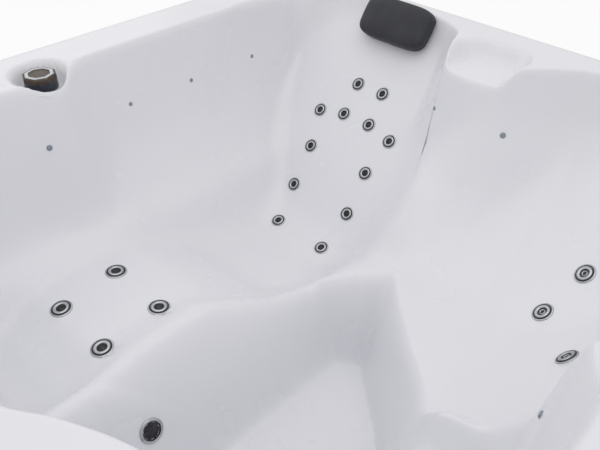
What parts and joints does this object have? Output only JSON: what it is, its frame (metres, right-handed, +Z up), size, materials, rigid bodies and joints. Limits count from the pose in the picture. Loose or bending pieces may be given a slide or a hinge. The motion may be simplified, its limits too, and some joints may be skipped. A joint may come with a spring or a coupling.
{
  "type": "hot tub",
  "caption": "Square hot tub with a moulded lounger, corner seats, body jets, a head pillow, rim controls, a filter and a pump behind a boarded cabinet.",
  "frame": {"origin": "on the floor under the middle of the tub", "axes": "+Z up, -X the lounger side, +Y the head end of the lounger, -Y the side with the access panel"},
  "size_m": [2, 2, 0.9071],
  "materials": {
    "acrylic": "polished cast acrylic",
    "cabinet": "boarded, dull",
    "frame": "galvanised",
    "pan": "moulded, dull",
    "pillow": "soft skinned foam",
    "steel": "satin",
    "black": "smooth",
    "pipe": "plain white",
    "lens": "clear over grey",
    "pewter": "dark pewter",
    "motor": "enamelled",
    "pleats": "pleated felt"
  },
  "bodies": {
    "tub": {"acrylic_shell": "acrylic", "base_pan": "pan", "frame_head": "frame", "frame_left": "frame", "frame_foot": "frame", "frame_right": "frame", "corner_post_head_right": "pan", "corner_post_head_left": "pan", "corner_post_foot_left": "pan", "corner_post_foot_right": "pan", "panel_head": "cabinet", "panel_left": "cabinet", "panel_right": "cabinet", "lounge_jet_manifold": "pipe", "calf_jet_manifold": "pipe", "seat_jet_manifold": "pipe", "suction_manifold": "pipe", "diverter_valve": "pipe", "air_control_valve": "pipe", "waterline_light_string": "lens", "filter_canister": "pipe", "pump_volute": "black", "pump_motor": "motor", "heater_tube": "steel", "control_box": "black", "suction_cover_1": "black", "suction_cover_2": "black", "drain_fitting": "black"},
    "back_jet_01": {"back_jet_face_01": "steel"},
    "back_jet_02": {"back_jet_face_02": "steel"},
    "back_jet_03": {"back_jet_face_03": "steel"},
    "back_jet_04": {"back_jet_face_04": "steel"},
    "back_jet_05": {"back_jet_face_05": "steel"},
    "back_jet_06": {"back_jet_face_06": "steel"},
    "back_jet_07": {"back_jet_face_07": "steel"},
    "back_jet_08": {"back_jet_face_08": "steel"},
    "back_jet_09": {"back_jet_face_09": "steel"},
    "back_jet_10": {"back_jet_face_10": "steel"},
    "back_jet_11": {"back_jet_face_11": "steel"},
    "back_jet_12": {"back_jet_face_12": "steel"},
    "calf_jet_01": {"calf_jet_face_01": "steel"},
    "calf_jet_02": {"calf_jet_face_02": "steel"},
    "calf_jet_03": {"calf_jet_face_03": "steel"},
    "calf_jet_04": {"calf_jet_face_04": "steel"},
    "seat_jet_01": {"seat_jet_face_01": "steel"},
    "seat_jet_02": {"seat_jet_face_02": "steel"},
    "seat_jet_03": {"seat_jet_face_03": "steel"},
    "seat_jet_04": {"seat_jet_face_04": "steel"},
    "seat_jet_05": {"seat_jet_face_05": "steel"},
    "seat_jet_06": {"seat_jet_face_06": "steel"},
    "whirl_jet": {"whirl_jet_nozzle": "steel"},
    "diverter": {"diverter_knob": "pewter"},
    "air_control": {"air_control_knob": "pewter"},
    "pillow": {"head_pillow": "pillow"},
    "filter": {"filter_lid": "cabinet", "filter_cartridge": "pleats"},
    "access": {"access_panel": "cabinet"},
    "impeller": {"pump_impeller": "black"},
    "drain": {"drain_cap": "black"}
  },
  "joints": [
    {"name": "back_jet_01_turn", "type": "hinge", "parent": "tub", "child": "back_jet_01", "pos_m": [-0.449, 0.746, 0.63216], "axis": [0, -0.7337, 0.6794], "range_deg": [0, 110]},
    {"name": "back_jet_02_turn", "type": "hinge", "parent": "tub", "child": "back_jet_02", "pos_m": [-0.337, 0.746, 0.63216], "axis": [0, -0.7337, 0.6794], "range_deg": [0, 110]},
    {"name": "back_jet_03_turn", "type": "hinge", "parent": "tub", "child": "back_jet_03", "pos_m": [-0.43952, 0.664, 0.54753], "axis": [0, -0.7056, 0.7086], "range_deg": [0, 110]},
    {"name": "back_jet_04_turn", "type": "hinge", "parent": "tub", "child": "back_jet_04", "pos_m": [-0.32352, 0.664, 0.54753], "axis": [0, -0.7056, 0.7086], "range_deg": [0, 110]},
    {"name": "back_jet_05_turn", "type": "hinge", "parent": "tub", "child": "back_jet_05", "pos_m": [-0.54128, 0.648, 0.53166], "axis": [0, -0.7028, 0.7113], "range_deg": [0, 110]},
    {"name": "back_jet_06_turn", "type": "hinge", "parent": "tub", "child": "back_jet_06", "pos_m": [-0.21728, 0.648, 0.53166], "axis": [0, -0.7028, 0.7113], "range_deg": [0, 110]},
    {"name": "back_jet_07_turn", "type": "hinge", "parent": "tub", "child": "back_jet_07", "pos_m": [-0.49598, 0.553, 0.438], "axis": [0, -0.7073, 0.7069], "range_deg": [0, 110]},
    {"name": "back_jet_08_turn", "type": "hinge", "parent": "tub", "child": "back_jet_08", "pos_m": [-0.23598, 0.553, 0.438], "axis": [0, -0.7073, 0.7069], "range_deg": [0, 110]},
    {"name": "back_jet_09_turn", "type": "hinge", "parent": "tub", "child": "back_jet_09", "pos_m": [-0.4807, 0.451, 0.32543], "axis": [0, -0.7285, 0.685], "range_deg": [0, 110]},
    {"name": "back_jet_10_turn", "type": "hinge", "parent": "tub", "child": "back_jet_10", "pos_m": [-0.2227, 0.451, 0.32543], "axis": [0, -0.7285, 0.685], "range_deg": [0, 110]},
    {"name": "back_jet_11_turn", "type": "hinge", "parent": "tub", "child": "back_jet_11", "pos_m": [-0.44104, 0.332, 0.2441], "axis": [0.0523, -0.3447, 0.9373], "range_deg": [0, 110]},
    {"name": "back_jet_12_turn", "type": "hinge", "parent": "tub", "child": "back_jet_12", "pos_m": [-0.22904, 0.332, 0.24014], "axis": [0, -0.3953, 0.9185], "range_deg": [0, 110]},
    {"name": "calf_jet_01_turn", "type": "hinge", "parent": "tub", "child": "calf_jet_01", "pos_m": [-0.468, -0.307, 0.37878], "axis": [0, 0.0545, 0.9985], "range_deg": [0, 110]},
    {"name": "calf_jet_02_turn", "type": "hinge", "parent": "tub", "child": "calf_jet_02", "pos_m": [-0.252, -0.307, 0.37878], "axis": [0, 0.0545, 0.9985], "range_deg": [0, 110]},
    {"name": "calf_jet_03_turn", "type": "hinge", "parent": "tub", "child": "calf_jet_03", "pos_m": [-0.449, -0.501, 0.3719], "axis": [0, -0.1078, 0.9942], "range_deg": [0, 110]},
    {"name": "calf_jet_04_turn", "type": "hinge", "parent": "tub", "child": "calf_jet_04", "pos_m": [-0.239, -0.501, 0.3719], "axis": [0, -0.1078, 0.9942], "range_deg": [0, 110]},
    {"name": "seat_jet_01_turn", "type": "hinge", "parent": "tub", "child": "seat_jet_01", "pos_m": [0.578, 0.493, 0.52271], "axis": [-0.3983, -0.4958, 0.7717], "range_deg": [0, 110]},
    {"name": "seat_jet_02_turn", "type": "hinge", "parent": "tub", "child": "seat_jet_02", "pos_m": [0.541, 0.373, 0.43833], "axis": [-0.4371, -0.3596, 0.8244], "range_deg": [0, 110]},
    {"name": "seat_jet_03_turn", "type": "hinge", "parent": "tub", "child": "seat_jet_03", "pos_m": [0.728, 0.332, 0.5501], "axis": [-0.6829, -0.1322, 0.7184], "range_deg": [0, 110]},
    {"name": "seat_jet_04_turn", "type": "hinge", "parent": "tub", "child": "seat_jet_04", "pos_m": [0.681, 0.216, 0.49553], "axis": [-0.6832, 0.0028, 0.7302], "range_deg": [0, 110]},
    {"name": "seat_jet_05_turn", "type": "hinge", "parent": "tub", "child": "seat_jet_05", "pos_m": [0.653, -0.602, 0.49583], "axis": [-0.6737, 0.4177, 0.6097], "range_deg": [0, 110]},
    {"name": "seat_jet_06_turn", "type": "hinge", "parent": "tub", "child": "seat_jet_06", "pos_m": [0.756, -0.438, 0.49729], "axis": [-0.6737, 0.4177, 0.6097], "range_deg": [0, 110]},
    {"name": "whirl_jet_turn", "type": "hinge", "parent": "tub", "child": "whirl_jet", "pos_m": [-0.0148, -0.52137, 0.253], "axis": [0.9169, 0.0183, 0.3987], "continuous": true},
    {"name": "diverter_turn", "type": "hinge", "parent": "tub", "child": "diverter", "pos_m": [-0.828, -0.24, 0.85], "axis": [0, 0, 1], "range_deg": [0, 180]},
    {"name": "air_control_turn", "type": "hinge", "parent": "tub", "child": "air_control", "pos_m": [-0.882, -0.408, 0.88], "axis": [0, 0, 1], "range_deg": [0, 90]},
    {"name": "pillow_slide", "type": "slide", "parent": "tub", "child": "pillow", "axis": [0, -0.8084, 0.5886], "range_m": [0, 0.12]},
    {"name": "filter_slide", "type": "slide", "parent": "tub", "child": "filter", "axis": [0, 0, 1], "range_m": [0, 0.32]},
    {"name": "access_slide", "type": "slide", "parent": "tub", "child": "access", "axis": [0, -1, 0], "range_m": [0, 0.3]},
    {"name": "impeller_turn", "type": "hinge", "parent": "tub", "child": "impeller", "pos_m": [-0.28, -0.25, 0.132], "axis": [1, 0, 0], "continuous": true},
    {"name": "drain_slide", "type": "slide", "parent": "tub", "child": "drain", "axis": [-1, 0, 0], "range_m": [0, 0.04]}
  ]
}
